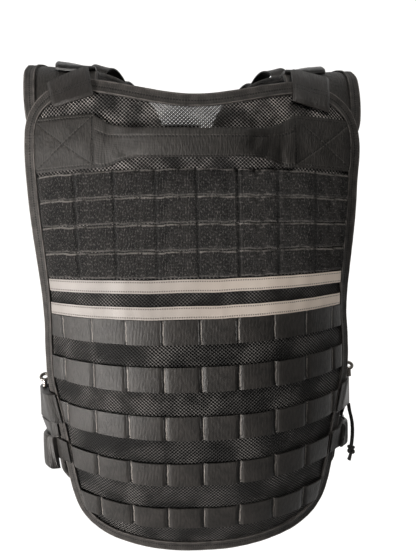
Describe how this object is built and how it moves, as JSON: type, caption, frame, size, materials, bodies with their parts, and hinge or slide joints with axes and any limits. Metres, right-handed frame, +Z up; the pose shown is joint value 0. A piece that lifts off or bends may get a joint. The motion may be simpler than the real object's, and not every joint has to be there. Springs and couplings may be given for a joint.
{
  "type": "mesh load vest",
  "caption": "Black mesh vest with rows of tacked webbing, loop bands, light bands and a carry handle on its back, in worn form.",
  "frame": {"origin": "middle between the shoulders, level with the shoulder ridge", "axes": "+Y the way the wearer faces, +X the wearer's right, +Z up"},
  "size_m": [0.3548, 0.2406, 0.5406],
  "materials": {
    "mesh_cloth": "open black net",
    "edge_binding": "matte woven tape",
    "nylon_webbing": "ribbed webbing",
    "pack_cloth": "plain woven cloth",
    "loop_pile": "fuzzy loop pile",
    "reflective_tape": "light grey tape with a satin sheen",
    "black_plastic": "moulded, slightly glossy",
    "dark_steel": "worn bright wire",
    "black_cord": "braided"
  },
  "bodies": {
    "root": {"back_binding": "edge_binding", "back_panel": "mesh_cloth", "front_binding_left": "edge_binding", "front_binding_right": "edge_binding", "front_panel_left": "mesh_cloth", "front_panel_right": "mesh_cloth", "front_zip": "black_plastic", "handle_grip": "pack_cloth", "handle_patch_left": "pack_cloth", "handle_patch_right": "pack_cloth", "loop_row_1": "loop_pile", "loop_row_2": "loop_pile", "loop_row_3": "loop_pile", "loop_row_4": "loop_pile", "reflective_tape_lower": "reflective_tape", "reflective_tape_upper": "reflective_tape", "shoulder_bar_left": "black_plastic", "shoulder_bar_right": "black_plastic", "shoulder_tab_left": "nylon_webbing", "shoulder_tab_right": "nylon_webbing", "shoulder_webbing_left": "nylon_webbing", "shoulder_webbing_right": "nylon_webbing", "side_buckle_left": "black_plastic", "side_buckle_right": "black_plastic", "side_cord_front": "black_cord", "side_cord_knot": "black_cord", "side_cord_rear": "black_cord", "side_keeper_left": "black_plastic", "side_keeper_right": "black_plastic", "side_ring_left": "dark_steel", "side_ring_right": "dark_steel", "side_strap_lower_left": "nylon_webbing", "side_strap_lower_right": "nylon_webbing", "side_strap_upper_left": "nylon_webbing", "side_strap_upper_right": "nylon_webbing", "webbing_row_1": "nylon_webbing", "webbing_row_2": "nylon_webbing", "webbing_row_3": "nylon_webbing", "webbing_row_4": "nylon_webbing", "webbing_row_5": "nylon_webbing"}
  },
  "joints": []
}
